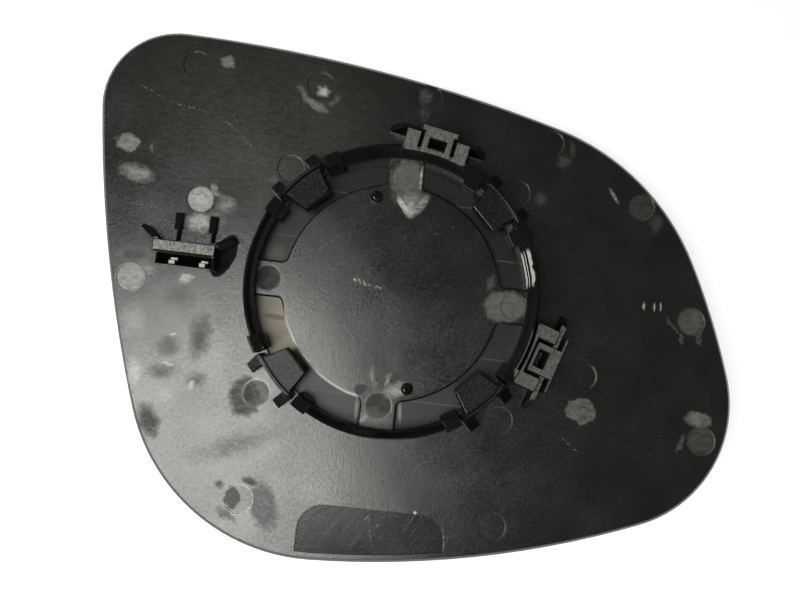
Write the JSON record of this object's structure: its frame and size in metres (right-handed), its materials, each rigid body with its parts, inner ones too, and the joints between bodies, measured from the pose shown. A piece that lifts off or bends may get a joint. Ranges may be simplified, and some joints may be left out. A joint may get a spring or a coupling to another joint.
{
  "type": "car door mirror glass",
  "caption": "Car door mirror glass on a black moulded backing plate, with a snap ring of hooks, guide clips and heater contacts on its back.",
  "frame": {"origin": "where the snap ring's axis meets the back face of the plate", "axes": "+Z along the ring's axis, out of the back of the plate; +X along the ring's arm that points to the mirror's pointed end; +Y towards the straight upper edge"},
  "size_m": [0.1896, 0.1453, 0.0144],
  "materials": {
    "plate_plastic": "satin, fine grain",
    "heater_film": "smooth film",
    "mirror_face": "polished",
    "contact_metal": "tinned"
  },
  "bodies": {
    "root": {"backing_plate": "plate_plastic", "heater_foil": "heater_film", "mirror_glass": "mirror_face", "heater_terminals": "contact_metal"}
  },
  "joints": []
}
